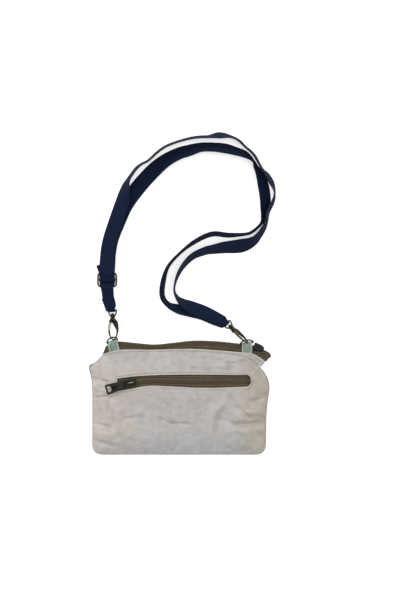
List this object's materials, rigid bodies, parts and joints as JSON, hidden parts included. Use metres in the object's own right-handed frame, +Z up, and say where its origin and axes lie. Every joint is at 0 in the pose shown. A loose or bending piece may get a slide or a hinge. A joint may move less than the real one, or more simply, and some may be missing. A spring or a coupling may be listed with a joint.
{
  "type": "messenger bag",
  "caption": "Small zip-top cotton shoulder bag lying flat, with a front zip pocket, ribbon ring tabs and a doubled webbing strap on swivel hooks.",
  "frame": {"origin": "middle of the back panel's flat resting face", "axes": "+X to the bag's right as seen from its front, +Y from the bag's bottom towards the strap, +Z up from the surface that the bag lies on, out of its front panel"},
  "size_m": [0.2421, 0.4179, 0.0247],
  "materials": {
    "cotton": "pale grey-white plain cotton canvas, slightly creased",
    "zip_tape": "brown ribbed zip tape",
    "zip_chain": "brown nylon coil",
    "ribbon": "sage green ribbon with pale stitched edges",
    "webbing": "navy woven webbing",
    "dark_metal": "dark gunmetal",
    "aged_brass": "antique brass, darkened"
  },
  "bodies": {
    "root": {"front_panel": "cotton", "back_panel": "cotton", "front_hem": "cotton", "top_zip_front_tape": "zip_tape", "top_zip_back_tape": "zip_tape", "top_zip_tail": "zip_tape", "pocket_zip_lower_tape": "zip_tape", "pocket_zip_upper_tape": "zip_tape", "top_zip_chain": "zip_chain", "pocket_zip_chain": "zip_chain", "left_tab": "ribbon", "right_tab": "ribbon", "strap": "webbing", "pocket_zip_slider": "dark_metal", "top_zip_slider": "dark_metal", "top_zip_pull": "dark_metal", "left_ring": "dark_metal", "right_ring": "dark_metal", "strap_slider": "aged_brass", "left_hook_bail": "aged_brass", "right_hook_bail": "aged_brass"},
    "left_hook": {"left_hook_body": "aged_brass"},
    "left_gate": {"left_hook_gate": "aged_brass"},
    "right_hook": {"right_hook_body": "aged_brass"},
    "right_gate": {"right_hook_gate": "aged_brass"},
    "pocket_pull": {"pocket_zip_pull": "dark_metal"}
  },
  "joints": [
    {"name": "left_swivel", "type": "hinge", "parent": "root", "child": "left_hook", "pos_m": [-0.0859, 0.1214, 0.0044], "axis": [-0.0512, 0.9768, -0.2079], "range_deg": [-30, 5]},
    {"name": "left_gate_hinge", "type": "hinge", "parent": "left_hook", "child": "left_gate", "pos_m": [-0.08833, 0.11381, 0.00494], "axis": [-0.3518, 0.1772, 0.9192], "range_deg": [0, 30], "stiffness_Nm_per_rad": 0.01, "springref_deg": -20.05},
    {"name": "right_swivel", "type": "hinge", "parent": "root", "child": "right_hook", "pos_m": [0.0668, 0.1072, 0.0052], "axis": [-0.6956, 0.6486, -0.309], "range_deg": [-8, 30]},
    {"name": "right_gate_hinge", "type": "hinge", "parent": "right_hook", "child": "right_gate", "pos_m": [0.07064, 0.10228, 0.01018], "axis": [0.5713, 0.7601, 0.3096], "range_deg": [0, 30], "stiffness_Nm_per_rad": 0.01, "springref_deg": -20.05},
    {"name": "pocket_pull_hinge", "type": "hinge", "parent": "root", "child": "pocket_pull", "pos_m": [-0.0615, 0.036, 0.02157], "axis": [-0.2924, 0.9563, 0], "range_deg": [0, 170]}
  ]
}
